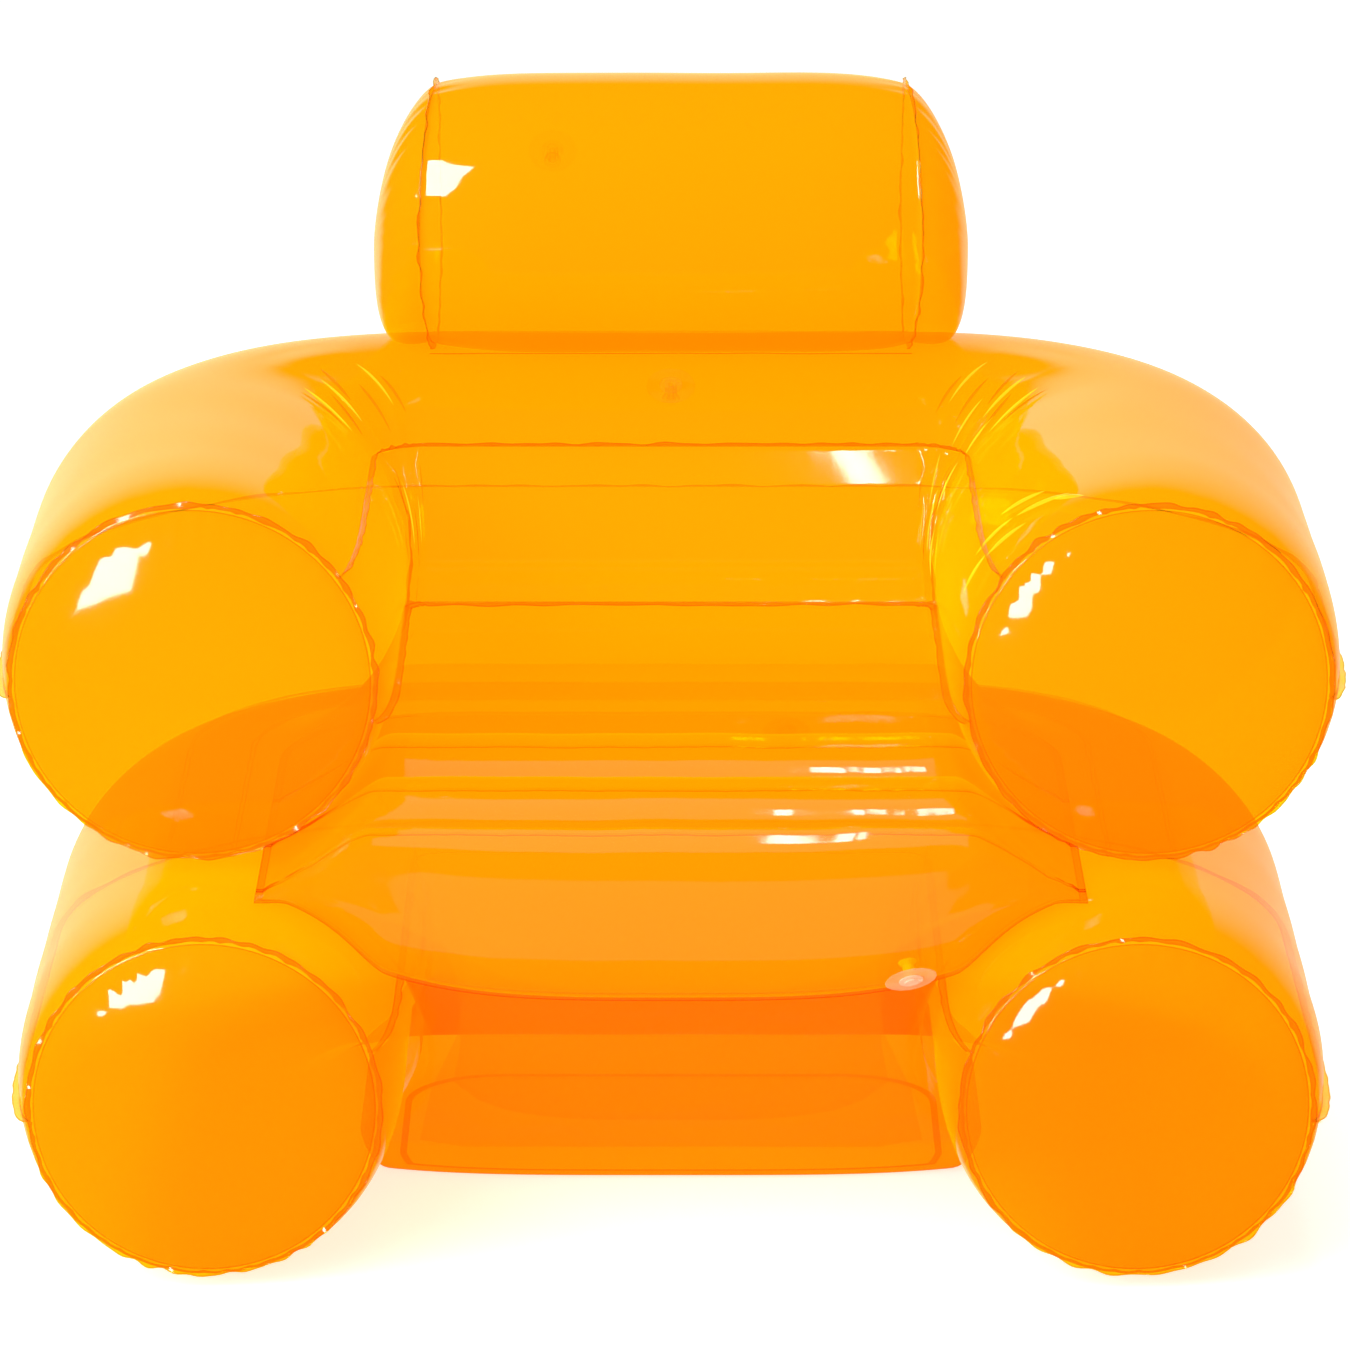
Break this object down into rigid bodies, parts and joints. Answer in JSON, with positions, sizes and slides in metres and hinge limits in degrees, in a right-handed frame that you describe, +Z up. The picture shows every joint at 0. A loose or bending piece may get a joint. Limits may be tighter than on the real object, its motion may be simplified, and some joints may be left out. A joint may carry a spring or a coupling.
{
  "type": "inflatable armchair",
  "caption": "Inflatable armchair of clear amber film: two stacked U-shaped air tubes, a channelled seat bag, a headrest roll and push-in air valves.",
  "frame": {"origin": "centre of the chair's width and depth, on the floor", "axes": "+X to the sitter's left, +Y to the back of the chair, +Z up"},
  "size_m": [1.1628, 0.9189, 0.9073],
  "materials": {
    "film": "clear amber soft film, very glossy",
    "clear_vinyl": "clear soft moulded vinyl, semi-gloss"
  },
  "bodies": {
    "chair": {"arm_bottom_panel": "film", "arm_end_disc_left": "film", "arm_end_disc_right": "film", "arm_inner_panel": "film", "arm_top_panel": "film", "base_bottom_panel": "film", "base_end_disc_left": "film", "base_end_disc_right": "film", "base_top_panel": "film", "headrest_cap_left": "film", "headrest_cap_right": "film", "headrest_sleeve": "film", "seat_baffle_1": "film", "seat_baffle_2": "film", "seat_baffle_3": "film", "seat_bottom_panel": "film", "seat_top_panel": "film", "seat_wall_panel": "film", "seat_valve_flange": "clear_vinyl", "back_valve_flange": "clear_vinyl", "base_valve_flange": "clear_vinyl", "headrest_valve_flange": "clear_vinyl"},
    "seat_valve_stem_body": {"seat_valve_stem": "clear_vinyl"},
    "seat_valve_plug_body": {"seat_valve_plug": "clear_vinyl"},
    "seat_valve_flap_body": {"seat_valve_flap": "clear_vinyl"},
    "back_valve_stem_body": {"back_valve_stem": "clear_vinyl"},
    "back_valve_plug_body": {"back_valve_plug": "clear_vinyl"},
    "back_valve_flap_body": {"back_valve_flap": "clear_vinyl"},
    "base_valve_stem_body": {"base_valve_stem": "clear_vinyl"},
    "base_valve_plug_body": {"base_valve_plug": "clear_vinyl"},
    "base_valve_flap_body": {"base_valve_flap": "clear_vinyl"},
    "headrest_valve_stem_body": {"headrest_valve_stem": "clear_vinyl"},
    "headrest_valve_plug_body": {"headrest_valve_plug": "clear_vinyl"},
    "headrest_valve_flap_body": {"headrest_valve_flap": "clear_vinyl"}
  },
  "joints": [
    {"name": "seat_valve_slide", "type": "slide", "parent": "chair", "child": "seat_valve_stem_body", "axis": [0.176, -0.65, -0.7393], "range_m": [0, 0.0119]},
    {"name": "seat_valve_plug_hinge", "type": "hinge", "parent": "seat_valve_stem_body", "child": "seat_valve_plug_body", "pos_m": [0.21267, -0.37919, 0.25885], "axis": [0, -0.751, 0.6603], "range_deg": [0, 150]},
    {"name": "seat_valve_flap_hinge", "type": "hinge", "parent": "seat_valve_stem_body", "child": "seat_valve_flap_body", "pos_m": [0.20443, -0.36715, 0.27254], "axis": [0, 0.751, -0.6603], "range_deg": [0, 35], "stiffness_Nm_per_rad": 0.0001},
    {"name": "back_valve_slide", "type": "slide", "parent": "chair", "child": "back_valve_stem_body", "axis": [0, -0.5222, 0.8528], "range_m": [0, 0.0119]},
    {"name": "back_valve_plug_hinge", "type": "hinge", "parent": "back_valve_stem_body", "child": "back_valve_plug_body", "pos_m": [0.0095, 0.19391, 0.64099], "axis": [0, 0.8528, 0.5222], "range_deg": [0, 150]},
    {"name": "back_valve_flap_hinge", "type": "hinge", "parent": "back_valve_stem_body", "child": "back_valve_flap_body", "pos_m": [0.0046, 0.20404, 0.62444], "axis": [0, -0.8528, -0.5222], "range_deg": [0, 35], "stiffness_Nm_per_rad": 0.0001},
    {"name": "base_valve_slide", "type": "slide", "parent": "chair", "child": "base_valve_stem_body", "axis": [0, 0.7893, 0.614], "range_m": [0, 0.0119]},
    {"name": "base_valve_plug_hinge", "type": "hinge", "parent": "base_valve_stem_body", "child": "base_valve_plug_body", "pos_m": [0.1195, 0.42934, 0.24748], "axis": [0, 0.614, -0.7893], "range_deg": [0, 150]},
    {"name": "base_valve_flap_hinge", "type": "hinge", "parent": "base_valve_stem_body", "child": "base_valve_flap_body", "pos_m": [0.1146, 0.41403, 0.23557], "axis": [0, -0.614, 0.7893], "range_deg": [0, 35], "stiffness_Nm_per_rad": 0.0001},
    {"name": "headrest_valve_slide", "type": "slide", "parent": "chair", "child": "headrest_valve_stem_body", "axis": [-0.0102, 0.9357, 0.3527], "range_m": [0, 0.0119]},
    {"name": "headrest_valve_plug_hinge", "type": "hinge", "parent": "headrest_valve_stem_body", "child": "headrest_valve_plug_body", "pos_m": [-0.10053, 0.41, 0.81363], "axis": [0, 0.3527, -0.9357], "range_deg": [0, 150]},
    {"name": "headrest_valve_flap_hinge", "type": "hinge", "parent": "headrest_valve_stem_body", "child": "headrest_valve_flap_body", "pos_m": [-0.10523, 0.3918, 0.80678], "axis": [0, -0.3527, 0.9357], "range_deg": [0, 35], "stiffness_Nm_per_rad": 0.0001}
  ]
}
